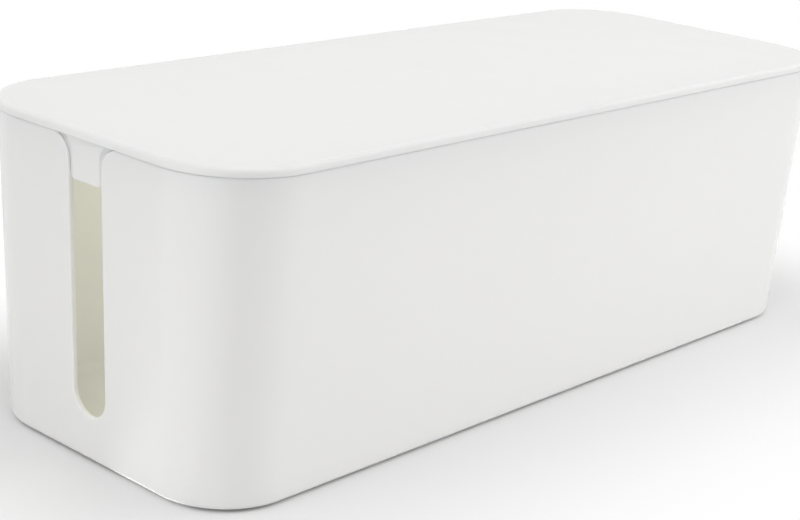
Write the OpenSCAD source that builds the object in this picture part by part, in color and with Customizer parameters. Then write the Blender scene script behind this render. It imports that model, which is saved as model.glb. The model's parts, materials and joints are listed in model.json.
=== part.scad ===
// Cable management box: an open-topped tub with leaning walls and wide round
// corners, a cable slot with a flared mouth at each short end, a lift-off lid
// whose end tabs hang in the slot mouths, and four rubber feet.
// Millimetres, +Z up. The origin lies on the surface that the box stands on,
// below the middle of the box. +X runs along the length.

/* [Overall] */
// Length over the lid
box_l = 407; // [260:1:560]
// Width over the lid
box_w = 157; // [120:1:240]
// Height from the standing surface to the top of the lid
box_h = 133.5; // [90:0.5:200]
// Radius of the lid's corners, seen from above
corner_r = 37; // [20:1:50]

/* [Tub] */
// Thickness of the walls
wall = 2.5; // [1.8:0.1:4]
// Thickness of the floor
floor_t = 3; // [2.4:0.1:6]
// How far each wall leans in on its way from the rim to the base
lean = 5; // [0:0.5:10]
// Rounding of the edge round the base
base_round = 2.6; // [1:0.1:5]
// Rounding where the floor meets the walls inside
inner_round = 3; // [1:0.1:6]
// Rounding of the rim's two edges
rim_round = 0.8; // [0.2:0.1:0.8]

/* [Cable slots] */
// Width of each slot
slot_w = 19; // [10:0.5:40]
// Height of the slot's lowest point above the standing surface
slot_low = 20; // [12:0.5:50]
// Radius of the flare on both sides of the slot's mouth
mouth_r = 10; // [6.5:0.5:14]

/* [Lid] */
// Height of the band that shows round the lid's edge
lid_band = 3.6; // [2.8:0.1:6]
// Thickness of the lid's plate inside the skirt
lid_plate = 2.4; // [1.8:0.1:2.6]
// How far the lid stands out past the tub's rim
lid_over = 0.4; // [0:0.1:2]
// Rounding of the lid's upper edge
lid_round = 2; // [0.5:0.1:2.2]
// Break of the lid's lower edge
lid_break = 0.4; // [0.1:0.1:0.5]

/* [Lid skirt and tabs] */
// Depth of the skirt that drops inside the rim
skirt_h = 7; // [4:0.5:12]
// Thickness of the skirt
skirt_t = 2; // [1.5:0.1:3]
// Gap between the skirt and the inside of the wall
skirt_gap = 0.6; // [0.4:0.1:1]
// How far the tabs' lower edges hang below the top of the lid
tab_low = 20; // [18:0.5:40]
// Gap between a tab and each side of its slot
tab_gap = 1.2; // [0.3:0.1:2]
// Radius of the fillets where a tab meets the lid
tab_root = 6; // [1:0.5:6.5]
// How far a tab stands back from the outside of the tub's wall
tab_back = 0.7; // [0:0.1:1]

/* [Feet] */
// Diameter of each foot
foot_d = 14; // [8:1:20]
// Thickness of each foot
foot_t = 2.4; // [2:0.1:3.5]
// How far a foot stands out of its pocket
foot_out = 1; // [0.6:0.1:1.4]
// Gap between a foot and the wall of its pocket
foot_gap = 0.2; // [0.1:0.1:0.4]
// Break of the foot's lower edge
foot_break = 0.4; // [0.1:0.1:0.5]
// Distance from the tub's end at the base to the middle of a foot
foot_end = 32; // [22:1:50]
// Distance from the tub's side at the base to the middle of a foot
foot_side = 22; // [18:1:30]

/* [Hidden] */
$fn = 96;

plastic_white = [0.93, 0.93, 0.92];
rubber_grey = [0.24, 0.24, 0.25];

// Overshoot of a cut past the face that it opens
past = 2;
// Steps in a quarter of a large round, and of a small one
steps = 5;
few = 3;

// Heights
base_z = foot_out;
floor_z = base_z + floor_t;
rim_z = box_h - lid_band;
skirt_z = rim_z - skirt_h;
plate_z = box_h - lid_plate;
tab_z = box_h - tab_low;

// The corners' centres are the same for the lid, the tub and the skirt
centre_x = box_l / 2 - corner_r;
centre_y = box_w / 2 - corner_r;

// Radii about those centres, at the rim
rim_r = corner_r - lid_over;
inside_r = rim_r - wall;
skirt_r = inside_r - skirt_gap;

// How far the walls have leant in at height z
function lean_at(z) = lean * (rim_z - z) / (rim_z - base_z);

// An outline drawn for upright walls, leant in as the walls are
function leant(points) = [for (p = points) [p[0] - lean_at(p[1]), p[1]]];

// A round of radius r about c, from angle a to angle b in n steps
function arc(c, r, a, b, n) =
    [for (i = [0 : n]) c + r * [cos(a + (b - a) * i / n), sin(a + (b - a) * i / n)]];

// Section of the tub from a corner's centre outwards, base first
tub_section = concat(
    [[0, floor_z], [0, base_z]],
    leant(concat(
        arc([rim_r - base_round, base_z + base_round], base_round, -90, 0, steps),
        arc([rim_r - rim_round, rim_z - rim_round], rim_round, 0, 90, few),
        arc([inside_r + rim_round, rim_z - rim_round], rim_round, 90, 180, few),
        arc([inside_r - inner_round, floor_z + inner_round], inner_round, 0, -90, steps))));

// Section of the lid from a corner's centre outwards, top first
lid_section = concat(
    [[0, plate_z], [0, box_h]],
    arc([corner_r - lid_round, box_h - lid_round], lid_round, 90, 0, steps),
    [[corner_r, rim_z + lid_break], [corner_r - lid_break, rim_z]],
    leant([[skirt_r, rim_z], [skirt_r, skirt_z], [skirt_r - skirt_t, skirt_z]]),
    [[skirt_r - skirt_t, plate_z]]);

// Sweeps a 2D section round the four corners and along the four sides, and
// fills the middle with a plate from z0 to z1
module swept_round(z0, z1) {
    for (turn = [0 : 3]) {
        along = turn % 2 == 0 ? centre_x : centre_y;
        across = turn % 2 == 0 ? centre_y : centre_x;
        rotate([0, 0, 90 * turn]) translate([along, across, 0]) {
            rotate_extrude(angle = 90) children();
            rotate([90, 0, 0]) linear_extrude(2 * across) children();
        }
    }
    translate([-centre_x, -centre_y, z0]) cube([2 * centre_x, 2 * centre_y, z1 - z0]);
}

// Repeats what is drawn at the +X end at both ends
module at_both_ends() {
    for (turn = [0, 180]) rotate([0, 0, turn]) children();
}

// Face of a cable slot, with Y to the right and Z up
module slot_face() {
    mouth_z = rim_z - mouth_r;
    middle_z = slot_low + slot_w / 2;
    translate([0, middle_z]) circle(d = slot_w);
    translate([-slot_w / 2, middle_z]) square([slot_w, rim_z + past - middle_z]);
    difference() {
        translate([-slot_w / 2 - mouth_r, mouth_z])
            square([slot_w + 2 * mouth_r, mouth_r + past]);
        for (side = [-1, 1])
            translate([side * (slot_w / 2 + mouth_r), mouth_z]) circle(r = mouth_r);
    }
}

// Cuts a slot through the wall at the +X end
module slot_cut() {
    inner_x = centre_x + inside_r - lean - inner_round;
    translate([inner_x, 0, 0]) rotate([90, 0, 90])
        linear_extrude(centre_x + rim_r + past - inner_x) slot_face();
}

// Face of an end tab with its root fillets, with Y to the right and Z up
module tab_face() {
    tab_w = slot_w - 2 * tab_gap;
    translate([-tab_w / 2, tab_z - past]) square([tab_w, plate_z - tab_z + past]);
    difference() {
        translate([-tab_w / 2 - tab_root, rim_z - tab_root])
            square([tab_w + 2 * tab_root, tab_root + plate_z - rim_z]);
        for (side = [-1, 1])
            translate([side * (tab_w / 2 + tab_root), rim_z - tab_root])
                circle(r = tab_root);
    }
}

// End tab at the +X end, just behind the outside of the tub's wall and joined
// to the skirt
module tab() {
    outer = centre_x + rim_r;
    inner = centre_x + skirt_r - skirt_t / 2;
    front = outer - tab_back;
    hanging = leant([[front, rim_z], [front, tab_z], [outer - wall, tab_z],
                     [outer - wall, skirt_z], [inner, skirt_z], [inner, rim_z]]);
    intersection() {
        translate([0, box_w / 2, 0]) rotate([90, 0, 0]) linear_extrude(box_w)
            polygon(concat(hanging, [[inner, plate_z], [front, plate_z]]));
        translate([inner - lean, 0, 0]) rotate([90, 0, 90])
            linear_extrude(outer - inner + lean + past) tab_face();
    }
}

// Places what is drawn for one foot under a corner of the tub
module at_foot(side_x, side_y) {
    translate([side_x * (centre_x + rim_r - lean - foot_end),
               side_y * (centre_y + rim_r - lean - foot_side), 0]) children();
}

module tub() {
    color(plastic_white) difference() {
        swept_round(base_z, floor_z) polygon(tub_section);
        at_both_ends() slot_cut();
        for (side_x = [-1, 1], side_y = [-1, 1]) at_foot(side_x, side_y)
            translate([0, 0, base_z - past])
                cylinder(d = foot_d + 2 * foot_gap, h = foot_t - foot_out + past);
    }
}

module lid() {
    color(plastic_white) {
        swept_round(plate_z, box_h) polygon(lid_section);
        at_both_ends() tab();
    }
}

module foot(side_x, side_y) {
    color(rubber_grey) at_foot(side_x, side_y) {
        cylinder(d1 = foot_d - 2 * foot_break, d2 = foot_d, h = foot_break);
        translate([0, 0, foot_break]) cylinder(d = foot_d, h = foot_t - foot_break);
    }
}

tub();
lid();
foot(-1, -1);  // foot_front_left
foot(1, -1);  // foot_front_right
foot(-1, 1);  // foot_back_left
foot(1, 1);  // foot_back_right
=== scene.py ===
"""Looks of a long white cable management box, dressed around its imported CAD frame.

A moulded tub with a flared cable slot at each end, a lift-off lid with an end
tab for each slot, and four rubber feet, on a pale studio floor. Metres, in the
frame of the CAD: +X along the length, +Z up, the origin under the middle.
"""

import json
import logging
import math
from dataclasses import dataclass, field
from enum import Enum

import bmesh
import bpy
from mathutils import Matrix, Vector

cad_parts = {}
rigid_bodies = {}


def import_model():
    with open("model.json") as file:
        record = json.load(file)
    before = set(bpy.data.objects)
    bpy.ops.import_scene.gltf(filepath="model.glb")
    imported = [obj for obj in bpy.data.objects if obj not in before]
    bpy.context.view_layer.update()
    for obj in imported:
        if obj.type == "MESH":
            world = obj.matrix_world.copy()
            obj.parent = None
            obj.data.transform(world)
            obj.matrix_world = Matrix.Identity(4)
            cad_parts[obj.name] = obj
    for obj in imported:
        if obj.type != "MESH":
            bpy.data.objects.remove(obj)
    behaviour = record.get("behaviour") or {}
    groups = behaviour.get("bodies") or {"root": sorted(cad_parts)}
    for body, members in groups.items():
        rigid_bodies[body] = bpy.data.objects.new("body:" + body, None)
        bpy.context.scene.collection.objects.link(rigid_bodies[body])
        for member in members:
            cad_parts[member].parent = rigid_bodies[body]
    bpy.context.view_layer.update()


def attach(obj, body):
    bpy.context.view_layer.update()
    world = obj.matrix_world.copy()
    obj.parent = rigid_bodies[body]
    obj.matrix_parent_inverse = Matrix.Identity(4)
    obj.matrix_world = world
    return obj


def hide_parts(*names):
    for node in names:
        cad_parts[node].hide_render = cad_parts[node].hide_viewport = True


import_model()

log = logging.getLogger("cable_box")

Point2 = tuple[float, float]
Point3 = tuple[float, float, float]
Colour = tuple[float, float, float]
Mesh = bpy.types.Mesh
Shape = bmesh.types.BMesh
Socket = bpy.types.NodeSocket

MM = 0.001
# Two places closer than this are one
SAME_PLACE = 1e-6
# A vertex closer to a leaning wall than this is on it
ON_WALL = 1e-5
# What a Boolean leaves closer together than the first is welded, and an edge
# shorter than the second is dissolved
WELD = 0.005 * MM
TINY_EDGE = 0.002 * MM


class Slot(Enum):
    """The record's material slots."""

    PLASTIC = "white_plastic"
    RUBBER = "foot_rubber"


class Body(Enum):
    """The bodies that pieces ride on."""

    BASE = "box_base"
    LID = "lid"


class End(Enum):
    """The two short ends of the box, by the sign of X."""

    LEFT = -1
    RIGHT = 1


class Joining(Enum):
    """What a Boolean does with the other solids."""

    ADD = "UNION"
    CUT = "DIFFERENCE"


# ---------------------------------------------------------------- sizes


@dataclass(frozen=True)
class BoxSizes:
    """The sizes that tub, lid and feet share, as in the part's source.

    Attributes:
        length: Length over the lid.
        width: Width over the lid.
        height: Height from the floor to the top of the lid.
        corner_r: Radius of the lid's corners, seen from above.
        wall: Thickness of the tub's walls.
        floor_t: Thickness of the tub's floor.
        lean: How far a wall leans in from the rim to the base.
        lid_band: Height of the lid's edge band.
        lid_over: How far the lid stands out past the rim.
        foot_out: How far a foot stands out of its pocket.
        slot_w: Width of a cable slot.
        corner_steps: Chords in a quarter of each corner of tub and lid.
    """

    length: float = 407 * MM
    width: float = 157 * MM
    height: float = 133.5 * MM
    corner_r: float = 37 * MM
    wall: float = 2.5 * MM
    floor_t: float = 3 * MM
    lean: float = 5 * MM
    lid_band: float = 3.6 * MM
    lid_over: float = 0.4 * MM
    foot_out: float = 1 * MM
    slot_w: float = 19 * MM
    corner_steps: int = 28

    @property
    def centre_x(self) -> float:
        """X of the corners' centres."""
        return self.length / 2 - self.corner_r

    @property
    def centre_y(self) -> float:
        """Y of the corners' centres."""
        return self.width / 2 - self.corner_r

    @property
    def rim_z(self) -> float:
        """Height of the tub's rim."""
        return self.height - self.lid_band

    @property
    def rim_r(self) -> float:
        """Outer radius of the tub's corners at the rim."""
        return self.corner_r - self.lid_over

    @property
    def inside_r(self) -> float:
        """Inner radius of the tub's corners at the rim."""
        return self.rim_r - self.wall

    def lean_at(self, z: float) -> float:
        """How far the walls have leant in at a height.

        Args:
            z: The height.

        Returns:
            The distance, nothing at the rim and above.
        """
        share = (self.rim_z - z) / (self.rim_z - self.foot_out)
        return self.lean * max(0.0, share)

    def outer_x(self, z: float) -> float:
        """X of the outside of an end wall at a height."""
        return self.centre_x + self.rim_r - self.lean_at(z)

    def leant(self, points: list[Point2]) -> list[Point2]:
        """Leans a section that was drawn for upright walls.

        Args:
            points: Pairs of radius and height.

        Returns:
            The same points, moved in by the lean at their height.
        """
        return [(r - self.lean_at(z), z) for r, z in points]


def arc(centre: Point2, radius: float, start: float, stop: float, steps: int) -> list[Point2]:
    """Points on a round.

    Args:
        centre: Middle of the round.
        radius: Its radius.
        start: First angle in degrees.
        stop: Last angle in degrees.
        steps: Number of chords.

    Returns:
        The points from first to last, both included.
    """
    angles = [math.radians(start + (stop - start) * i / steps) for i in range(steps + 1)]
    return [(centre[0] + radius * math.cos(a), centre[1] + radius * math.sin(a)) for a in angles]


# ---------------------------------------------------------------- node trees


class TreeMaker:
    """Adds nodes and links to one node tree, with few words."""

    def __init__(self, tree: bpy.types.NodeTree) -> None:
        """Keeps the tree.

        Args:
            tree: A shader or geometry node tree.
        """
        self.tree = tree

    def add(self, kind: str, links: dict | None = None, **settings: object) -> bpy.types.Node:
        """Adds a node.

        Args:
            kind: Blender's name of the node type.
            links: Input name or index to a socket to link, or a value to set.
            settings: The node's own properties.

        Returns:
            The new node.
        """
        node = self.tree.nodes.new(kind)
        for name, value in settings.items():
            setattr(node, name, value)
        for key, value in (links or {}).items():
            self.feed(node.inputs[key], value)
        return node

    def feed(self, socket: Socket, value: object) -> None:
        """Links a socket to another, or gives it a constant."""
        if isinstance(value, Socket):
            self.tree.links.new(value, socket)
        else:
            socket.default_value = value

    def maths(self, operation: str, *values: object) -> Socket:
        """A Math node's result.

        Args:
            operation: The node's operation, such as MULTIPLY.
            values: Its inputs, sockets or numbers.

        Returns:
            The output socket.
        """
        links = dict(enumerate(values))
        return self.add("ShaderNodeMath", links, operation=operation).outputs[0]

    def vector(self, operation: str, *values: object, scale: object = None) -> Socket:
        """A Vector Math node's vector result.

        Args:
            operation: The node's operation, such as ADD.
            values: Its vector inputs, sockets or triples.
            scale: Its Scale input, where it has one.

        Returns:
            The output socket.
        """
        node = self.add("ShaderNodeVectorMath", dict(enumerate(values)), operation=operation)
        if scale is not None:
            self.feed(node.inputs["Scale"], scale)
        return node.outputs[0]

    def mixed(self, share: Socket, first: object, second: object, kind: str) -> Socket:
        """A Mix node's result; its sockets share names, so they are taken by index.

        Args:
            share: How much of the second.
            first: A level or a colour.
            second: Another.
            kind: FLOAT for levels, RGBA for colours.

        Returns:
            The output socket.
        """
        a, b, result = {"FLOAT": (2, 3, 0), "RGBA": (6, 7, 2)}[kind]
        links = {0: share, a: first, b: second}
        return self.add("ShaderNodeMix", links, data_type=kind).outputs[result]

    def xyz(self, **axes: object) -> Socket:
        """A vector made of any of X, Y and Z."""
        return self.add("ShaderNodeCombineXYZ", axes).outputs[0]

    def ramp(
        self, value: Socket, start: float, stop: float,
        low: float = 0.0, high: float = 1.0, kind: str = "SMOOTHSTEP",
    ) -> Socket:
        """A value that goes from one level to another over a range.

        Args:
            value: What drives it.
            start: Where the range starts.
            stop: Where the range stops.
            low: The level at the start and before it.
            high: The level at the stop and after it.
            kind: The Map Range node's interpolation.

        Returns:
            The output socket.
        """
        return self.add(
            "ShaderNodeMapRange",
            {"Value": value, "From Min": start, "From Max": stop, "To Min": low, "To Max": high},
            interpolation_type=kind,
        ).outputs[0]

    def noted(self, geometry: Socket, **vectors: Socket) -> bpy.types.NodeOutputs:
        """Notes vectors on the points of a geometry.

        Args:
            geometry: The geometry.
            vectors: Name of each vector to the socket that gives it.

        Returns:
            The node's outputs: the geometry, then the vectors in order.
        """
        node = self.add("GeometryNodeCaptureAttribute", {0: geometry}, domain="POINT")
        for name in vectors:
            node.capture_items.new("VECTOR", name)
        for index, value in enumerate(vectors.values(), start=1):
            self.feed(node.inputs[index], value)
        return node.outputs


def cleared(owner: bpy.types.Material | bpy.types.World) -> TreeMaker:
    """Gives a material or a world an empty node tree, and returns its maker."""
    owner.use_nodes = True
    owner.node_tree.nodes.clear()
    return TreeMaker(owner.node_tree)


def new_socket(
    tree: bpy.types.NodeTree,
    name: str,
    kind: str,
    default: object = None,
    output: bool = False,
) -> str:
    """Adds a named input or output to a node tree.

    Args:
        tree: The node tree.
        name: The socket's name.
        kind: Its type without the prefix, such as Float.
        default: Its starting value.
        output: True for an output.

    Returns:
        The socket's identifier.
    """
    socket = tree.interface.new_socket(
        name, in_out="OUTPUT" if output else "INPUT", socket_type="NodeSocket" + kind
    )
    if default is not None:
        socket.default_value = default
    return socket.identifier


@dataclass
class RoundedSweep:
    """Geometry nodes that sweep a section round a rectangle with round corners.

    The section is the object's own mesh: a chain of vertices whose X is the
    radius about a corner's centre and whose Z is the height.

    Attributes:
        name: Name of the tree.
        repeats: True to stand a copy on each point of a two by two grid.
        ids: The tree's inputs' identifiers by name, once it is built.
    """

    name: str
    repeats: bool = False
    ids: dict[str, str] = field(default_factory=dict)

    def build(self) -> bpy.types.NodeTree:
        """Makes the tree, and notes its inputs' identifiers.

        Returns:
            The node tree.
        """
        tree = bpy.data.node_groups.new(self.name, "GeometryNodeTree")
        new_socket(tree, "Geometry", "Geometry", output=True)
        self.ids["Section"] = new_socket(tree, "Section", "Geometry")
        for name in ("Centre X", "Centre Y", "Spread X", "Spread Y"):
            self.ids[name] = new_socket(tree, name, "Float", 0.0)
        self.ids["Corner Steps"] = new_socket(tree, "Corner Steps", "Int", 24)
        self.ids["Finish"] = new_socket(tree, "Finish", "Material")
        make = TreeMaker(tree)
        given = make.add("NodeGroupInput").outputs

        outline, heading, corner = self._outline(make, given)
        chain = make.add("GeometryNodeMeshToCurve", {"Mesh": given["Section"]})
        here = make.add("GeometryNodeInputPosition").outputs[0]
        profile, point, *_ = make.noted(chain.outputs[0], Point=here)
        skin = make.add(
            "GeometryNodeCurveToMesh",
            {"Curve": outline, "Profile Curve": profile, "Fill Caps": False},
        )
        spot = make.add("ShaderNodeSeparateXYZ", {0: point}).outputs
        outward = make.vector("SCALE", heading, scale=spot["X"])
        place = make.vector("ADD", make.vector("ADD", corner, outward), make.xyz(Z=spot["Z"]))
        placed = make.add(
            "GeometryNodeSetPosition", {"Geometry": skin.outputs[0], "Position": place}
        )
        shape = make.add(
            "GeometryNodeMergeByDistance", {"Geometry": placed.outputs[0], "Distance": SAME_PLACE}
        ).outputs[0]
        if self.repeats:
            stands = make.add(
                "GeometryNodeMeshGrid",
                {"Size X": given["Spread X"], "Size Y": given["Spread Y"],
                 "Vertices X": 2, "Vertices Y": 2},
            )
            shape = make.add(
                "GeometryNodeInstanceOnPoints", {"Points": stands.outputs[0], "Instance": shape}
            ).outputs[0]
        real = make.add("GeometryNodeRealizeInstances", {0: shape})
        coated = make.add(
            "GeometryNodeSetMaterial", {"Geometry": real.outputs[0], "Material": given["Finish"]}
        )
        make.add("NodeGroupOutput", {0: coated.outputs[0]})
        return tree

    def _outline(self, make: TreeMaker, given: bpy.types.NodeOutputs) -> tuple[Socket, ...]:
        """Adds the closed path, with what each of its points knows.

        Args:
            make: The tree's maker.
            given: The group's inputs.

        Returns:
            Sockets of the path's curve, the outward direction and the corner's
            centre at each of its points.
        """
        per_corner = make.maths("ADD", given["Corner Steps"], 1.0)
        count = make.maths("MULTIPLY", per_corner, 4.0)
        ring = make.add("GeometryNodeMeshCircle", {"Vertices": count}, fill_type="NONE")
        index = make.add("GeometryNodeInputIndex").outputs[0]
        turn = make.maths("FLOOR", make.maths("DIVIDE", index, per_corner))
        step = make.maths("SUBTRACT", index, make.maths("MULTIPLY", turn, per_corner))
        share = make.maths("DIVIDE", step, given["Corner Steps"])
        angle = make.maths("MULTIPLY", make.maths("ADD", turn, share), math.pi / 2)
        heading = make.xyz(X=make.maths("COSINE", angle), Y=make.maths("SINE", angle))
        middle = make.maths("MULTIPLY", make.maths("ADD", turn, 0.5), math.pi / 2)
        side_x = make.maths("SIGN", make.maths("COSINE", middle))
        side_y = make.maths("SIGN", make.maths("SINE", middle))
        corner = make.xyz(X=make.maths("MULTIPLY", side_x, given["Centre X"]),
                          Y=make.maths("MULTIPLY", side_y, given["Centre Y"]))
        ring, heading, corner, *_ = make.noted(ring.outputs[0], Heading=heading, Corner=corner)
        path = make.add("GeometryNodeMeshToCurve", {"Mesh": ring})
        return path.outputs[0], heading, corner

    def run(
        self, name: str, section: list[Point2], finish: bpy.types.Material, **sizes: object
    ) -> Mesh:
        """Sweeps a section.

        Args:
            name: Name of the new mesh.
            section: Pairs of radius and height, in order.
            finish: The material.
            sizes: The tree's other inputs, with _ for a space.

        Returns:
            A plain mesh.
        """
        chain = bpy.data.meshes.new(name + "_section")
        edges = [(i, i + 1) for i in range(len(section) - 1)]
        chain.from_pydata([(r, 0.0, z) for r, z in section], edges, [])
        holder = held(chain, name + "_sweep")
        modifier = holder.modifiers.new(self.name, "NODES")
        modifier.node_group = self.build()
        modifier[self.ids["Finish"]] = finish
        for key, value in sizes.items():
            modifier[self.ids[key.replace("_", " ")]] = value
        return taken(holder, name)


# ---------------------------------------------------------------- mesh helpers


def held(mesh: Mesh, name: str) -> bpy.types.Object:
    """Links a new object that holds a mesh, at the origin."""
    thing = bpy.data.objects.new(name, mesh)
    bpy.context.scene.collection.objects.link(thing)
    return thing


def dropped(thing: bpy.types.Object) -> None:
    """Removes an object and its mesh."""
    mesh = thing.data
    bpy.data.objects.remove(thing)
    bpy.data.meshes.remove(mesh)


def taken(holder: bpy.types.Object, name: str) -> Mesh:
    """Turns an object with live modifiers into a plain mesh and removes it.

    Args:
        holder: The object.
        name: Name of the new mesh.

    Returns:
        The evaluated mesh.
    """
    bpy.context.view_layer.update()
    evaluated = holder.evaluated_get(bpy.context.evaluated_depsgraph_get())
    mesh = bpy.data.meshes.new_from_object(evaluated)
    mesh.name = name
    dropped(holder)
    return mesh


class Editing:
    """Opens a mesh for editing in a `with` block, and writes it back at its end."""

    def __init__(self, mesh: Mesh) -> None:
        """Keeps the mesh.

        Args:
            mesh: The mesh, which may be empty.
        """
        self.mesh = mesh
        self.shape = bmesh.new()

    def __enter__(self) -> Shape:
        """Reads the mesh and hands out its shape."""
        self.shape.from_mesh(self.mesh)
        return self.shape

    def __exit__(self, *fault: object) -> None:
        """Writes the shape back and frees it."""
        self.shape.to_mesh(self.mesh)
        self.shape.free()


def discs(places: list[Point2], section: list[Point2], steps: int) -> Mesh:
    """Upright turned solids of one section.

    Args:
        places: Their middles.
        section: Pairs of radius and height, lowest first.
        steps: Chords round each.

    Returns:
        One mesh of closed solids that stand apart.
    """
    mesh = bpy.data.meshes.new("discs")
    turns = [math.tau * i / steps for i in range(steps)]
    with Editing(mesh) as shape:
        for x, y in places:
            rings = [[shape.verts.new((x + r * math.cos(a), y + r * math.sin(a), z))
                      for a in turns] for r, z in section]
            for lower, upper in zip(rings, rings[1:]):
                for i in range(steps):
                    j = (i + 1) % steps
                    shape.faces.new((lower[i], lower[j], upper[j], upper[i]))
            shape.faces.new(list(reversed(rings[0])))
            shape.faces.new(rings[-1])
    return mesh


def swept_shell(
    name: str, box: BoxSizes, section: list[Point2], finish: bpy.types.Material
) -> Mesh:
    """Sweeps a section round the box's corners; the middle stays open above and below.

    Args:
        name: Name of the piece.
        box: The shared sizes.
        section: Pairs of radius and height.
        finish: The material.

    Returns:
        The open mesh.
    """
    return RoundedSweep(name + "_tree").run(
        name, section, finish, Centre_X=box.centre_x, Centre_Y=box.centre_y,
        Corner_Steps=box.corner_steps)


def joined(mesh: Mesh, others: list[Mesh], how: Joining = Joining.ADD) -> Mesh:
    """Joins closed meshes to another, or cuts them from it.

    Args:
        mesh: The closed mesh to start from.
        others: The closed meshes to add or cut, which are used up.
        how: Whether to add or to cut.

    Returns:
        One closed mesh.
    """
    name = mesh.name
    thing = held(mesh, name + "_whole")
    tools = [held(other, "tool") for other in others]
    for tool in tools:
        modifier = thing.modifiers.new("join", "BOOLEAN")
        modifier.operation, modifier.solver, modifier.object = how.value, "EXACT", tool
    made = taken(thing, name)
    for tool in tools:
        dropped(tool)
    return made


def sharp_edges(shape: Shape, least: float) -> list[bmesh.types.BMEdge]:
    """The edges whose two faces meet at more than an angle in degrees."""
    return [e for e in shape.edges
            if len(e.link_faces) == 2 and e.calc_face_angle() > math.radians(least)]


def round_edges(
    shape: Shape, edges: list[bmesh.types.BMEdge], radius: float, segments: int, clamp: bool
) -> None:
    """Rounds edges.

    Args:
        shape: The shape that has them.
        edges: The edges.
        radius: How far each rounding reaches along its faces.
        segments: Chords in each rounding.
        clamp: True to make it smaller where two roundings would meet.
    """
    bmesh.ops.bevel(shape, geom=edges, offset=radius, offset_type="OFFSET", segments=segments,
                    profile=0.5, affect="EDGES", clamp_overlap=clamp)


def finished(mesh: Mesh, name: str, body: Body, nodes: list[str]) -> bpy.types.Object:
    """Makes a piece of a mesh: smooth shading that keeps flats flat, then its place in the frame.

    Args:
        mesh: The piece's mesh, in the frame.
        name: The piece's name.
        body: The body it rides on.
        nodes: The CAD nodes that it stands for.

    Returns:
        The piece.
    """
    mesh.shade_smooth()
    thing = held(mesh, name)
    weights = thing.modifiers.new("flat_flats", "WEIGHTED_NORMAL")
    weights.mode, weights.weight, weights.keep_sharp = "FACE_AREA", 100, True
    piece = held(taken(thing, name), name)
    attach(piece, body.value)
    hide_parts(*nodes)
    return piece


# ---------------------------------------------------------------- finishes


@dataclass(frozen=True)
class MouldedGrain:
    """The fine texture that a spark-eroded mould leaves, shared by the finishes.

    Attributes:
        name: The group's name.
        drift: Scale of the slow drift in tone, per metre.
        patches: Scale of the patches of gloss, and of the scuffs.
        rubbed: Level of those patches where a scuff starts, and where it is full.
        scuff: Strength of a full scuff at the base.
        scuff_rough: How much rougher a scuff makes the surface.
    """

    name: str = "moulded_grain"
    drift: float = 9.0
    patches: float = 38.0
    rubbed: tuple[float, float] = (0.45, 0.7)
    scuff: float = 0.4
    scuff_rough: float = 0.5

    def group(self) -> bpy.types.NodeTree:
        """The shader group, built once.

        Returns:
            A group with outputs Height, Roughness, Tone and Scuff.
        """
        if self.name in bpy.data.node_groups:
            return bpy.data.node_groups[self.name]
        tree = bpy.data.node_groups.new(self.name, "ShaderNodeTree")
        new_socket(tree, "Vector", "Vector")
        new_socket(tree, "Grain Size", "Float", 0.35 * MM)
        new_socket(tree, "Roughness", "Float", 0.35)
        new_socket(tree, "Roughness Spread", "Float", 0.04)
        new_socket(tree, "Tone Spread", "Float", 0.01)
        new_socket(tree, "Scuff Height", "Float", 6 * MM)
        for name in ("Height", "Roughness", "Tone", "Scuff"):
            new_socket(tree, name, "Float", output=True)
        make = TreeMaker(tree)
        given = make.add("NodeGroupInput").outputs

        def noise(
            scale: object, detail: float, roughness: float, distortion: float = 0.0
        ) -> Socket:
            """A noise on the piece's own coordinates."""
            return make.add("ShaderNodeTexNoise", {
                "Vector": given["Vector"], "Scale": scale, "Detail": detail,
                "Roughness": roughness, "Distortion": distortion}).outputs["Fac"]

        def either_way(level: Socket, spread: Socket) -> Socket:
            """Turns a level of 0 to 1 into a swing of a spread either way."""
            swing = make.maths("SUBTRACT", make.maths("MULTIPLY", level, 2.0), 1.0)
            return make.maths("MULTIPLY", swing, spread)

        fine = make.maths("DIVIDE", 1.0, given["Grain Size"])
        pits = noise(fine, detail=2.0, roughness=0.5)
        drift = noise(self.drift, detail=3.0, roughness=0.55)
        patches = noise(self.patches, detail=5.0, roughness=0.6, distortion=0.4)
        above = make.add("ShaderNodeSeparateXYZ", {0: given["Vector"]}).outputs["Z"]
        low = make.maths("SUBTRACT", 1.0, make.maths("DIVIDE", above, given["Scuff Height"]))
        rubbed = make.ramp(patches, *self.rubbed, kind="LINEAR")
        scuff = make.maths("MULTIPLY", make.maths("MAXIMUM", low, 0.0), rubbed)
        scuff = make.maths("MULTIPLY", scuff, self.scuff)
        rough = make.maths("ADD", given["Roughness"],
                           either_way(patches, given["Roughness Spread"]))
        rough = make.maths("ADD", rough, make.maths("MULTIPLY", scuff, self.scuff_rough))
        tone = make.maths("ADD", 1.0, either_way(drift, given["Tone Spread"]))
        make.add("NodeGroupOutput",
                 {"Height": pits, "Roughness": rough, "Tone": tone, "Scuff": scuff})
        return tree


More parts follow.
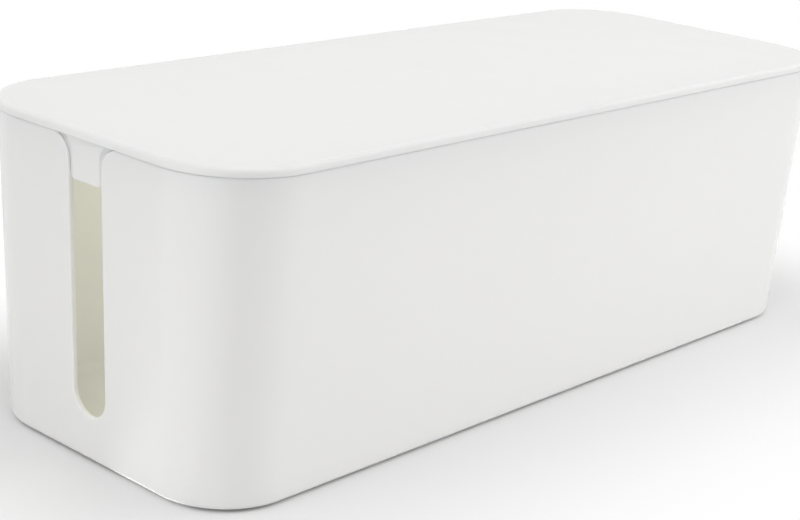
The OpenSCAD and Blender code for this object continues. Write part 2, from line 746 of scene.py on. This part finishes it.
@dataclass(frozen=True)
class Finish:
    """One moulded finish: a coloured body under the shared grain.

    Attributes:
        name: The material's name.
        colour: Base colour, linear.
        shade: The colour where the base's edge is scuffed.
        roughness: Middle roughness.
        spread: How far the roughness swings either way.
        tone: How far the colour's tone drifts either way.
        grain: Size of the grain.
        depth: Height of the grain.
        ior: Refractive index.
        scatter: How far light goes inside it, for red, green and blue.
    """

    name: str
    colour: Colour
    shade: Colour
    roughness: float
    spread: float
    tone: float
    grain: float
    depth: float
    ior: float
    scatter: Point3 | None = None

    def material(self) -> bpy.types.Material:
        """Builds the material.

        Returns:
            The node material.
        """
        made = bpy.data.materials.new(self.name)
        make = cleared(made)
        spots = make.add("ShaderNodeTexCoord").outputs["Object"]
        grain = make.add("ShaderNodeGroup", node_tree=MouldedGrain().group())
        for key, value in (("Vector", spots), ("Grain Size", self.grain),
                           ("Roughness", self.roughness), ("Roughness Spread", self.spread),
                           ("Tone Spread", self.tone)):
            make.feed(grain.inputs[key], value)
        colour = make.mixed(grain.outputs["Scuff"], (*self.colour, 1.0), (*self.shade, 1.0),
                            kind="RGBA")
        colour = make.vector("SCALE", colour, scale=grain.outputs["Tone"])
        bump = make.add("ShaderNodeBump", {"Strength": 1.0, "Distance": self.depth,
                                           "Height": grain.outputs["Height"]})
        skin = make.add("ShaderNodeBsdfPrincipled", {
            "Base Color": colour, "Roughness": grain.outputs["Roughness"], "IOR": self.ior,
            "Normal": bump.outputs[0]})
        if self.scatter:
            longest = max(self.scatter)
            skin.inputs["Subsurface Weight"].default_value = 1.0
            skin.inputs["Subsurface Scale"].default_value = longest
            skin.inputs["Subsurface Radius"].default_value = [d / longest for d in self.scatter]
        make.add("ShaderNodeOutputMaterial", {"Surface": skin.outputs[0]})
        return made


PLASTIC = Finish("white_moulded_plastic", (0.90, 0.90, 0.895), (0.78, 0.77, 0.75),
                 roughness=0.22, spread=0.03, tone=0.012, grain=0.5 * MM, depth=0.015 * MM,
                 ior=1.49, scatter=(2 * MM, 1.95 * MM, 1.85 * MM))
RUBBER = Finish("grey_foot_rubber", (0.047, 0.047, 0.051), (0.03, 0.03, 0.03),
                roughness=0.78, spread=0.08, tone=0.15, grain=0.6 * MM, depth=0.06 * MM, ior=1.5)


# ---------------------------------------------------------------- marks of the mould


@dataclass(frozen=True)
class PinMarks:
    """The round marks that the mould's ejector pins leave inside, four by two.

    Attributes:
        radius: Radius of a mark.
        depth: Depth of a mark.
        past: How far its cut starts outside the surface.
        out_x: Place of the outermost marks along X, as a share of the corners' centres.
        out_y: Place of the marks along Y, as a share of the corners' centres.
    """

    radius: float = 4 * MM
    depth: float = 0.12 * MM
    past: float = 0.5 * MM
    out_x: float = 0.9
    out_y: float = 0.8

    def _cut(self, box: BoxSizes, low: float, high: float) -> Mesh:
        """The solids to cut.

        Args:
            box: The shared sizes.
            low: Height of their lower faces.
            high: Height of their upper faces.

        Returns:
            One mesh of upright cylinders.
        """
        places = [(x * box.centre_x * self.out_x, y * box.centre_y * self.out_y)
                  for x in (-1, -1 / 3, 1 / 3, 1) for y in (-1, 1)]
        return discs(places, [(self.radius, low), (self.radius, high)], steps=32)

    def down_into(self, box: BoxSizes, z: float) -> Mesh:
        """The cut of marks in a surface that faces up, at height z."""
        return self._cut(box, z - self.depth, z + self.past)

    def up_into(self, box: BoxSizes, z: float) -> Mesh:
        """The cut of marks in a surface that faces down, at height z."""
        return self._cut(box, z - self.past, z + self.depth)


@dataclass(frozen=True)
class GateMark:
    """The dimple under the tub where the mould was filled, with a short stub in it.

    Attributes:
        radius: Radius of the dimple's bottom.
        depth: Depth of the dimple.
        past: How far its cut starts below the underside.
        flare: How much wider the cut is there.
        stub_r: Radius of the stub.
        stub_in: How far the stub's end lies above the underside.
        stub_up: How far its other end does, inside the tub's floor.
    """

    radius: float = 3.5 * MM
    depth: float = 0.4 * MM
    past: float = 0.2 * MM
    flare: float = 0.4 * MM
    stub_r: float = 3.5 * MM / 3
    stub_in: float = 0.1 * MM
    stub_up: float = 0.6 * MM

    def dimple(self, z: float) -> Mesh:
        """The solid to cut from an underside at height z."""
        section = [(self.radius + self.flare, z - self.past), (self.radius, z + self.depth)]
        return discs([(0.0, 0.0)], section, steps=48)

    def stub(self, z: float) -> Mesh:
        """The solid to add to an underside at height z."""
        section = [(self.stub_r, z + self.stub_in), (self.stub_r, z + self.stub_up)]
        return discs([(0.0, 0.0)], section, steps=24)


# ---------------------------------------------------------------- the tub


@dataclass
class Tub:
    """The open tub: leaning walls, round corners, two flared slots, foot pockets.

    Attributes:
        box: The shared sizes.
        finish: The plastic.
        feet: Middles of the foot pockets.
        base_round: Rounding of the edge round the base.
        inner_round: Rounding where floor and walls meet inside.
        edge_round: Rounding of the rim and of the slots' edges.
        sharp: Least angle in degrees at which an edge gets that rounding.
        slot_low: Height of a slot's lowest point.
        mouth_r: Radius of the flare on both sides of a slot's mouth.
        pocket_r: Radius of a foot pocket.
        pocket_t: Depth of a foot pocket.
        pocket_break: Break of a pocket's mouth.
        pocket_soft: Break of the edge of a pocket's ceiling.
        past: How far the cut of a pocket starts below the underside.
        pins: The ejector pins' marks on the floor.
        gate: The gate's mark underneath.
    """

    box: BoxSizes
    finish: bpy.types.Material
    feet: list[Point2]
    base_round: float = 2.6 * MM
    inner_round: float = 3 * MM
    edge_round: float = 0.8 * MM
    sharp: float = 60
    slot_low: float = 20 * MM
    mouth_r: float = 10 * MM
    pocket_r: float = 7.2 * MM
    pocket_t: float = 1.4 * MM
    pocket_break: float = 0.3 * MM
    pocket_soft: float = 0.2 * MM
    past: float = 0.2 * MM
    pins: PinMarks = PinMarks()
    gate: GateMark = GateMark()

    @property
    def floor_z(self) -> float:
        """Height of the tub's floor inside."""
        return self.box.foot_out + self.box.floor_t

    def section(self) -> list[Point2]:
        """The wall's section, from the base outwards, up, over the rim and down inside."""
        box = self.box
        outside = arc((box.rim_r - self.base_round, box.foot_out + self.base_round),
                      self.base_round, -90, 0, steps=8)
        inside = arc((box.inside_r - self.inner_round, self.floor_z + self.inner_round),
                     self.inner_round, 0, -90, steps=6)
        return box.leant(outside + [(box.rim_r, box.rim_z), (box.inside_r, box.rim_z)] + inside)

    def slot_outline(self) -> list[Point2]:
        """One slot's edge from the rim at -Y, down and round, to the rim at +Y.

        Returns:
            Pairs of Y and Z.
        """
        half, reach = self.box.slot_w / 2, self.box.slot_w / 2 + self.mouth_r
        mouth_z = self.box.rim_z - self.mouth_r
        left = arc((-reach, mouth_z), self.mouth_r, 90, 0, steps=14)
        bottom = arc((0.0, self.slot_low + half), half, 180, 360, steps=28)
        right = arc((reach, mouth_z), self.mouth_r, 180, 90, steps=14)
        return left + bottom + right

    def build(self) -> bpy.types.Object:
        """Makes the tub and puts it in the frame.

        Returns:
            The piece.
        """
        mesh = swept_shell("tub_shell", self.box, self.section(), self.finish)
        with Editing(mesh) as shape:
            bmesh.ops.holes_fill(shape, edges=shape.edges, sides=0)
            for end in End:
                self._open_slot(shape, end)
            bmesh.ops.recalc_face_normals(shape, faces=shape.faces)
            edges = sharp_edges(shape, self.sharp)
            round_edges(shape, edges, self.edge_round, segments=4, clamp=False)
        mesh = joined(mesh, self._cuts(), Joining.CUT)
        mesh = joined(mesh, [self.gate.stub(self.box.foot_out)])
        return finished(mesh, "tub_shell", Body.BASE, ["tub"])

    def _open_slot(self, shape: Shape, end: End) -> None:
        """Gives one end wall its slot: the flat of the wall is made anew round the slot's edge.

        Args:
            shape: The tub.
            end: Which end.
        """
        box, sign = self.box, end.value
        old = [f for f in shape.faces
               if all(abs(abs(v.co.y) - box.centre_y) < SAME_PLACE for v in f.verts)
               and all(v.co.x * sign > box.centre_x + SAME_PLACE for v in f.verts)
               and max(v.co.z for v in f.verts) > box.rim_z - SAME_PLACE]
        corners = {v for f in old for v in f.verts}
        bmesh.ops.delete(shape, geom=old, context="FACES_ONLY")
        edge = [(y * sign, z) for y, z in self.slot_outline()]
        rings = []
        for depth in (0.0, box.wall):
            made = [shape.verts.new((sign * (box.outer_x(z) - depth), y, z)) for y, z in edge]
            near = [v for v in corners
                    if abs(v.co.x * sign - (box.outer_x(v.co.z) - depth)) < ON_WALL]
            start, stop = (sorted((v for v in near if v.co.y * side > 0), key=lambda v: v.co.z)
                           for side in (edge[0][0], edge[-1][0]))
            ring = [start[0], start[-1]] + made + [stop[-1], stop[0]]
            shape.faces.new(ring)
            rings.append(ring[1:-1])
        outer, inner = rings
        for i in range(len(outer) - 1):
            shape.faces.new((outer[i], outer[i + 1], inner[i + 1], inner[i]))
        loose = [e for e in shape.edges if not e.link_faces]
        bmesh.ops.delete(shape, geom=loose, context="EDGES")

    def _cuts(self) -> list[Mesh]:
        """The solids to cut: foot pockets, pin marks inside, the gate's dimple underneath."""
        low, deep, r = self.box.foot_out, self.box.foot_out + self.pocket_t, self.pocket_r
        pocket = [(r + self.pocket_break + self.past, low - self.past),
                  (r, low + self.pocket_break),
                  (r, deep - self.pocket_soft), (r - self.pocket_soft, deep)]
        return [discs(self.feet, pocket, steps=64),
                self.pins.down_into(self.box, self.floor_z), self.gate.dimple(low)]


# ---------------------------------------------------------------- the lid


@dataclass(frozen=True)
class Hanging:
    """A solid that hangs from the lid's edge into a slot's mouth and leans as the wall does.

    Attributes:
        front: How far its outer face is behind the outside of the end wall.
        back: How far its inner face is.
        gap: Gap to each side of the slot.
        low: How far its lower edge is below the top of the lid.
        root: Radius of the fillets at its top.
        lift: How far above the rim the fillets end.
        into: How far it reaches up past the rim, into the lid's band.
        steps: Chords in a fillet.
        turn: Radius of its lower corners.
    """

    front: float
    back: float
    gap: float
    low: float
    root: float
    lift: float
    into: float
    steps: int
    turn: float = 1.0 * MM

    def outline(self, box: BoxSizes) -> list[Point2]:
        """Its face, counterclockwise from the upper left, in pairs of Y and Z."""
        half, low = box.slot_w / 2 - self.gap, box.height - self.low
        left = arc((-half - self.root, box.rim_z - self.root + self.lift),
                   self.root, 90, 0, self.steps)
        left += arc((-half + self.turn, low + self.turn), self.turn, 180, 270, steps=5)
        right = [(-y, z) for y, z in reversed(left)]
        high = box.rim_z + self.into
        return [(-half - self.root, high)] + left + right + [(half + self.root, high)]


# The tab that shows, and the shoulder that fills the slot's flare behind it
TAB = Hanging(front=0.7 * MM, back=2.5 * MM, gap=1.2 * MM, low=20 * MM,
              root=6 * MM, lift=0.03 * MM, into=1.2 * MM, steps=8)
SHOULDER = Hanging(front=1.0 * MM, back=1.8 * MM, gap=0.15 * MM, low=19.4 * MM,
                   root=10.15 * MM, lift=0.15 * MM, into=1.1 * MM, steps=14)


@dataclass
class Lid:
    """The lift-off lid: plate, rounded band, skirt inside the rim, two end tabs.

    Attributes:
        box: The shared sizes.
        finish: The plastic.
        plate: Thickness of the plate inside the skirt.
        top_round: Rounding of the upper edge.
        low_break: Rounding of the band's lower edge.
        skirt_h: Depth of the skirt.
        skirt_t: Thickness of the skirt.
        skirt_gap: Gap between skirt and wall.
        skirt_round: Rounding of the skirt's lower edges.
        fillet: Radius of the fillet between skirt and plate.
        tab: The end tabs.
        shoulder: The shoulders behind them.
        tab_round: Rounding of the edges of tabs and shoulders.
        sharp: Least angle in degrees at which an edge there gets it.
        band_clear: Least depth below the rim at which an edge gets it.
        web_in: How far each side of a web is inside its tab's.
        web_front: How far a web's outer end is behind the outside of the wall.
        web_up: How far a web's lower edge is above the skirt's.
        web_into: How far a web reaches up past the rim, into the lid's band.
        pins: The ejector pins' marks under the plate.
    """

    box: BoxSizes
    finish: bpy.types.Material
    plate: float = 2.4 * MM
    top_round: float = 1.5 * MM
    low_break: float = 0.3 * MM
    skirt_h: float = 7 * MM
    skirt_t: float = 2 * MM
    skirt_gap: float = 0.6 * MM
    skirt_round: float = 0.5 * MM
    fillet: float = 1.2 * MM
    tab: Hanging = TAB
    shoulder: Hanging = SHOULDER
    tab_round: float = 0.25 * MM
    sharp: float = 55
    band_clear: float = 0.3 * MM
    web_in: float = 1.0 * MM
    web_front: float = 2.0 * MM
    web_up: float = 0.3 * MM
    web_into: float = 1.0 * MM
    pins: PinMarks = PinMarks()

    @property
    def skirt_r(self) -> float:
        """Outer radius of the skirt's corners at the rim."""
        return self.box.inside_r - self.skirt_gap

    @property
    def skirt_z(self) -> float:
        """Height of the skirt's lower edge."""
        return self.box.rim_z - self.skirt_h

    def section(self) -> list[Point2]:
        """The section, from the top outwards, down the band, round the skirt, to the plate."""
        box, brim, soft, fillet = self.box, self.low_break, self.skirt_round, self.fillet
        inner, outer, plate_z = self.skirt_r - self.skirt_t, self.skirt_r, box.height - self.plate
        top = arc((box.corner_r - self.top_round, box.height - self.top_round),
                  self.top_round, 90, 0, steps=10)
        lower = arc((box.corner_r - brim, box.rim_z + brim), brim, 0, -90, steps=4)
        skirt = box.leant(
            [(outer, box.rim_z)]
            + arc((outer - soft, self.skirt_z + soft), soft, 0, -90, steps=4)
            + arc((inner + soft, self.skirt_z + soft), soft, 270, 180, steps=4))
        under = arc((inner - fillet, plate_z - fillet), fillet, 0, 90, steps=5)
        return top + lower + skirt + under

    def build(self) -> bpy.types.Object:
        """Makes the lid and puts it in the frame.

        Returns:
            The piece.
        """
        box = self.box
        mesh = swept_shell("lid_shell", box, self.section(), self.finish)
        with Editing(mesh) as shape:
            bmesh.ops.holes_fill(shape, edges=shape.edges, sides=0)
            bmesh.ops.recalc_face_normals(shape, faces=shape.faces)
        mesh = joined(mesh, [part for end in End for part in self._tab(end)])
        mesh = joined(mesh, [self.pins.up_into(box, box.height - self.plate)], Joining.CUT)
        with Editing(mesh) as shape:
            bmesh.ops.remove_doubles(shape, verts=shape.verts, dist=WELD)
            edges = [e for e in sharp_edges(shape, self.sharp)
                     if e.is_convex and all(self._on_tab(v.co) for v in e.verts)]
            round_edges(shape, edges, self.tab_round, segments=3, clamp=True)
            bmesh.ops.dissolve_degenerate(shape, dist=TINY_EDGE, edges=shape.edges)
        return finished(mesh, "lid_shell", Body.LID, ["lid"])

    def _on_tab(self, place: Vector) -> bool:
        """Tells whether a place is on a tab or a shoulder, clear of the lid's band."""
        box = self.box
        return (abs(place.y) < box.slot_w / 2 + self.tab.root
                and place.z < box.rim_z - self.band_clear
                and abs(place.x) > box.centre_x + self.skirt_r - box.lean)

    def _tab(self, end: End) -> list[Mesh]:
        """One tab, its shoulder behind it, and the web that ties them to the skirt.

        Args:
            end: Which end.

        Returns:
            Three closed solids.
        """
        box = self.box
        half = box.slot_w / 2 - self.tab.gap - self.web_in
        low, high = self.skirt_z + self.web_up, box.rim_z + self.web_into
        web = [(-half, high), (-half, low), (half, low), (half, high)]
        web_back = box.wall + self.skirt_gap + self.skirt_t / 2
        solids = [(part.outline(box), part.front, part.back) for part in (self.tab, self.shoulder)]
        solids.append((web, self.web_front, web_back))
        return [self._leaning(end, *solid) for solid in solids]

    def _leaning(self, end: End, outline: list[Point2], front: float, back: float) -> Mesh:
        """A closed solid that leans as an end wall does.

        Args:
            end: Which end.
            outline: Pairs of Y and Z, counterclockwise seen from +X, for the +X end.
            front: How far its outer face is behind the outside of the wall.
            back: How far its inner face is.

        Returns:
            The solid, with its faces pointing outwards.
        """
        count = len(outline)
        points = [(self.box.outer_x(z) - depth, y, z)
                  for depth in (front, back) for y, z in outline]
        sides = [(i, i + count, (i + 1) % count + count, (i + 1) % count) for i in range(count)]
        faces = [tuple(range(count)), tuple(reversed(range(count, 2 * count)))] + sides
        mesh = bpy.data.meshes.new("leaning")
        mesh.from_pydata(points, [], faces)
        if end is End.LEFT:
            mesh.transform(Matrix.Rotation(math.pi, 4, "Z"))
        return mesh


# ---------------------------------------------------------------- the feet


@dataclass
class Feet:
    """The four rubber feet, each dished underneath with a grip ring.

    Attributes:
        box: The shared sizes, not used.
        finish: The rubber.
        spread_x: Distance between the feet along X.
        spread_y: Distance between the feet along Y.
        radius: Radius of a foot.
        thick: Thickness of a foot.
        soft: Rounding of the lower edge.
        top_break: Break of the upper edge.
        dish: Depth of the dish.
        ring_in: Inner radius of the grip ring.
        ring_out: Outer radius of the grip ring.
        edge_in: Inner radius of the edge round the dish.
        slope: How far the dish's sides lean.
    """

    box: BoxSizes
    finish: bpy.types.Material
    spread_x: float = 332.2 * MM
    spread_y: float = 102.2 * MM
    radius: float = 7 * MM
    thick: float = 2.4 * MM
    soft: float = 0.4 * MM
    top_break: float = 0.2 * MM
    dish: float = 0.35 * MM
    ring_in: float = 2.5 * MM
    ring_out: float = 3.4 * MM
    edge_in: float = 4.7 * MM
    slope: float = 0.3 * MM

    def places(self) -> list[Point2]:
        """Middles of the four feet."""
        return [(x * self.spread_x / 2, y * self.spread_y / 2) for x in (-1, 1) for y in (-1, 1)]

    def section(self) -> list[Point2]:
        """A foot's section, from the middle underneath, out, up and back over the top."""
        r, dish, slope = self.radius, self.dish, self.slope
        under = [(0.0, dish), (self.ring_in - slope, dish), (self.ring_in, 0.0),
                 (self.ring_out, 0.0), (self.ring_out + slope, dish),
                 (self.edge_in - slope, dish), (self.edge_in, 0.0)]
        edge = arc((r - self.soft, self.soft), self.soft, -90, 0, steps=5)
        top = [(r, self.thick - self.top_break), (r - self.top_break, self.thick),
               (0.0, self.thick)]
        return under + edge + top

    def build(self) -> bpy.types.Object:
        """Makes the feet and puts them in the frame.

        Returns:
            The piece.
        """
        mesh = RoundedSweep("feet_tree", repeats=True).run(
            "rubber_feet", self.section(), self.finish, Corner_Steps=12,
            Spread_X=self.spread_x, Spread_Y=self.spread_y)
        with Editing(mesh) as shape:
            bmesh.ops.remove_doubles(shape, verts=shape.verts, dist=SAME_PLACE)
            bmesh.ops.recalc_face_normals(shape, faces=shape.faces)
        nodes = [f"foot_{side}_{end}" for side in ("front", "back") for end in ("left", "right")]
        return finished(mesh, "rubber_feet", Body.BASE, nodes)


# ---------------------------------------------------------------- the studio


WHITE = (1.0, 1.0, 1.0, 1.0)
# Width of the camera's sensor in millimetres, and of the picture in pixels
SENSOR_W = 36.0
PICTURE_W = 800.0


@dataclass(frozen=True)
class Softbox:
    """One broad lamp, which neither the camera nor a reflection sees.

    Reflections show the white surround and the floor instead.

    Attributes:
        name: The lamp's name.
        place: Where it stands.
        aim: The point that it faces.
        size: Its width and height.
        power: Its power in watts.
        colour: Its colour.
    """

    name: str
    place: Point3
    aim: Point3
    size: tuple[float, float]
    power: float
    colour: Colour = (1.0, 1.0, 1.0)

    def build(self) -> None:
        """Makes the lamp."""
        data = bpy.data.lights.new(self.name, "AREA")
        data.shape, data.size, data.size_y = "RECTANGLE", *self.size
        data.energy, data.color = self.power, self.colour
        lamp = bpy.data.objects.new(self.name, data)
        bpy.context.scene.collection.objects.link(lamp)
        lamp.location = self.place
        away = Vector(self.place) - Vector(self.aim)
        lamp.rotation_mode = "QUATERNION"
        lamp.rotation_quaternion = away.to_track_quat("Z", "Y")
        lamp.visible_camera = lamp.visible_glossy = False
        log.info("lamp %s, %.2f W", self.name, self.power)


# The last one is inside the box, and stands in for light that bounces there
LAMPS = [
    Softbox("top_softbox", (0.0, -0.8, 1.45), (0, 0, 0.06), (1.4, 1.0), 3.40),
    Softbox("left_softbox", (-1.13, -0.1, 1.19), (0, 0, 0.06), (1.4, 1.2), 5.15),
    Softbox("back_softbox", (-0.73, 0.87, 1.19), (0, 0, 0.06), (1.4, 1.2), 1.44),
    Softbox("right_softbox", (0.92, -0.92, 0.81), (0, 0, 0.06), (1.2, 0.9), 2.72),
    Softbox("right_fill", (0.71, -0.52, 0.42), (0.14, 0, 0.06), (0.5, 0.5), 1.02),
    Softbox("inner_glow", (0.0, 0.0, 0.118), (0.0, 0.0, 0.0), (0.34, 0.11), 0.110,
            colour=(1.0, 0.98, 0.8)),
]


@dataclass(frozen=True)
class Viewpoint:
    """The photograph's camera, as a place, three angles and a focal length.

    Attributes:
        place: The camera's place.
        yaw: Heading in degrees, 0 along +Y and 90 along +X.
        pitch: Downward tilt in degrees.
        roll: Turn about the line of sight in degrees.
        focal: Focal length in pixels of the picture.
    """

    place: Point3 = (-0.58588, -0.49720, 0.29227)
    yaw: float = 48.38
    pitch: float = 17.94
    roll: float = 4.0
    focal: float = 1757.0

    def build(self) -> None:
        """Makes the camera and gives it to the scene."""
        y, p, r = (math.radians(a) for a in (self.yaw, self.pitch, self.roll))
        ahead = Vector((math.sin(y) * math.cos(p), math.cos(y) * math.cos(p), -math.sin(p)))
        level = Vector((math.cos(y), -math.sin(y), 0.0))
        above = level.cross(ahead)
        right = level * math.cos(r) + above * math.sin(r)
        up = above * math.cos(r) - level * math.sin(r)
        data = bpy.data.cameras.new("photo_camera")
        data.sensor_width, data.lens = SENSOR_W, self.focal * SENSOR_W / PICTURE_W
        data.clip_start, data.clip_end = 0.01, 50.0
        camera = bpy.data.objects.new("photo_camera", data)
        bpy.context.scene.collection.objects.link(camera)
        turn = Matrix((right, up, -ahead)).transposed().to_4x4()
        camera.matrix_world = Matrix.Translation(self.place) @ turn
        bpy.context.scene.camera = camera


@dataclass(frozen=True)
class PaintedReflectionZone:
    """Painted reflection: a floor zone painted brighter or darker that only reflections see.

    The zone is a sector about the middle of the near left corner of the box.

    Attributes:
        strength: How far it is from white, as a share of white.
        headings: Degrees from -X where it starts, is full, stops being full and ends.
    """

    strength: float
    headings: tuple[float, float, float, float]

    def shown(self, make: TreeMaker, heading: Socket) -> Socket:
        """How strongly the painted reflection zone shows at a place on the floor.

        Args:
            make: The floor material's maker.
            heading: The place's heading in radians.

        Returns:
            The socket of its strength.
        """
        start, full, less, end = (math.radians(a) for a in self.headings)
        rise = make.ramp(heading, start, full)
        fall = make.ramp(heading, less, end, self.strength, 0.0)
        return make.maths("MULTIPLY", rise, fall)


@dataclass
class Studio:
    """Pale floor, white surround, soft lamps and the camera.

    Attributes:
        box: The shared sizes.
        lamps: The softboxes.
        viewpoint: The camera.
        ambient: Strength of the surround's light.
        floor_r: Radius of the floor.
        floor_colour: The floor's colour.
        shadow_reach: How far from the box the floor has turned white.
        painted_bright_zone: The zone painted brighter than white, left of the near corner: a
            painted reflection.
        painted_dark_zone: The zone painted darker than white, in front of the near corner: a
            painted reflection.
    """

    box: BoxSizes
    lamps: list[Softbox]
    viewpoint: Viewpoint = Viewpoint()
    ambient: float = 0.52
    floor_r: float = 6.0
    floor_colour: Colour = (0.9, 0.9, 0.9)
    shadow_reach: float = 0.12
    painted_bright_zone: PaintedReflectionZone = PaintedReflectionZone(1.25, (-55, -33, 6, 42))
    painted_dark_zone: PaintedReflectionZone = PaintedReflectionZone(0.95, (35, 56, 64, 135))

    def build(self) -> None:
        """Makes the whole studio."""
        self._surround()
        self._floor()
        for lamp in self.lamps:
            lamp.build()
        self.viewpoint.build()
        bpy.context.scene.view_settings.view_transform = "Standard"

    def _surround(self) -> None:
        """The world: plain light on the object, white where the camera or a reflection sees it."""
        world = bpy.data.worlds.new("white_surround")
        make = cleared(world)
        bpy.context.scene.world = world
        seen, _ = self._seen(make)
        light = make.add("ShaderNodeBackground", {"Color": WHITE, "Strength": self.ambient})
        white = make.add("ShaderNodeBackground", {"Color": WHITE, "Strength": 1.0})
        mix = make.add("ShaderNodeMixShader", {0: seen, 1: light.outputs[0], 2: white.outputs[0]})
        make.add("ShaderNodeOutputWorld", {"Surface": mix.outputs[0]})

    def _floor(self) -> None:
        """A round pale floor."""
        mesh = bpy.data.meshes.new("studio_floor")
        with Editing(mesh) as shape:
            bmesh.ops.create_circle(shape, cap_ends=True, radius=self.floor_r, segments=96)
        mesh.materials.append(self._floor_material())
        held(mesh, "studio_floor")

    def _floor_material(self) -> bpy.types.Material:
        """Pale paper that fades to white away from the object.

        A reflection also shows two zones painted brighter and darker than white,
        a painted reflection that gives the near corner its soft bands.

        Returns:
            The node material.
        """
        material = bpy.data.materials.new("studio_floor")
        make = cleared(material)
        spots = make.add("ShaderNodeTexCoord").outputs["Object"]
        fade = make.ramp(self._clear_of_box(make, spots), 0.0, self.shadow_reach)
        seen, glossy = self._seen(make)
        heading = self._heading(make, spots)
        # Painted reflection: floor zones brighter and darker than white, for reflections only
        painted_zones = make.maths("SUBTRACT", self.painted_bright_zone.shown(make, heading),
                           self.painted_dark_zone.shown(make, heading))
        level = make.maths("ADD", 1.0, painted_zones)
        painted_reflection_share = make.maths("MULTIPLY", glossy, make.maths("ABSOLUTE", painted_zones))
        painted_reflection_share = make.maths("MINIMUM", painted_reflection_share, 1.0)
        paper = make.add("ShaderNodeBsdfPrincipled", {
            "Base Color": (*self.floor_colour, 1.0), "Roughness": 0.9, "Specular IOR Level": 0.2})
        shown = make.mixed(glossy, 1.0, level, kind="FLOAT")
        white = make.add("ShaderNodeEmission", {"Color": WHITE, "Strength": shown})
        share = make.maths("MAXIMUM", make.maths("MULTIPLY", seen, fade), painted_reflection_share)
        mix = make.add("ShaderNodeMixShader", {0: share, 1: paper.outputs[0], 2: white.outputs[0]})
        make.add("ShaderNodeOutputMaterial", {"Surface": mix.outputs[0]})
        return material

    def _seen(self, make: TreeMaker) -> tuple[Socket, Socket]:
        """What kind of ray arrives.

        Args:
            make: The maker of the material or the world.

        Returns:
            Sockets that are 1 for a ray from the camera, a reflection or a
            transparency, and 1 for a reflection's alone.
        """
        rays = make.add("ShaderNodeLightPath").outputs
        second = make.maths("MAXIMUM", rays["Is Glossy Ray"], rays["Is Transmission Ray"])
        return make.maths("MAXIMUM", rays["Is Camera Ray"], second), rays["Is Glossy Ray"]

    def _clear_of_box(self, make: TreeMaker, spots: Socket) -> Socket:
        """How far a place on the floor is from the box's outline at its base.

        Args:
            make: The floor material's maker.
            spots: Object coordinates.

        Returns:
            The socket of the distance, in metres.
        """
        corner = (self.box.centre_x, self.box.centre_y, 0.0)
        past = make.vector("SUBTRACT", make.vector("ABSOLUTE", spots), corner)
        past = make.vector("MAXIMUM", past, (0.0, 0.0, 0.0))
        length = make.add("ShaderNodeVectorMath", {0: past}, operation="LENGTH").outputs["Value"]
        return make.maths("SUBTRACT", length, self.box.rim_r - self.box.lean)

    def _heading(self, make: TreeMaker, spots: Socket) -> Socket:
        """The heading of a place on the floor about the middle of the near left corner.

        Args:
            make: The floor material's maker.
            spots: Object coordinates.

        Returns:
            The socket of the angle from -X towards -Y, in radians.
        """
        place = make.vector("ADD", spots, (self.box.centre_x, self.box.centre_y, 0.0))
        axes = make.add("ShaderNodeSeparateXYZ", {0: place}).outputs
        return make.maths("ARCTAN2", make.maths("MULTIPLY", axes["Y"], -1.0),
                          make.maths("MULTIPLY", axes["X"], -1.0))


# ---------------------------------------------------------------- main


def main() -> None:
    """Builds the tub, the lid, the feet and the studio, in that order."""
    logging.basicConfig(level=logging.INFO, format="%(message)s")
    box = BoxSizes()
    plastic, rubber = PLASTIC.material(), RUBBER.material()
    feet = Feet(box, rubber)
    for maker in (Tub(box, plastic, feet.places()), Lid(box, plastic), feet):
        piece = maker.build()
        log.info("%s: %d faces", piece.name, len(piece.data.polygons))
    Studio(box, LAMPS).build()


if __name__ == "__main__":
    main()
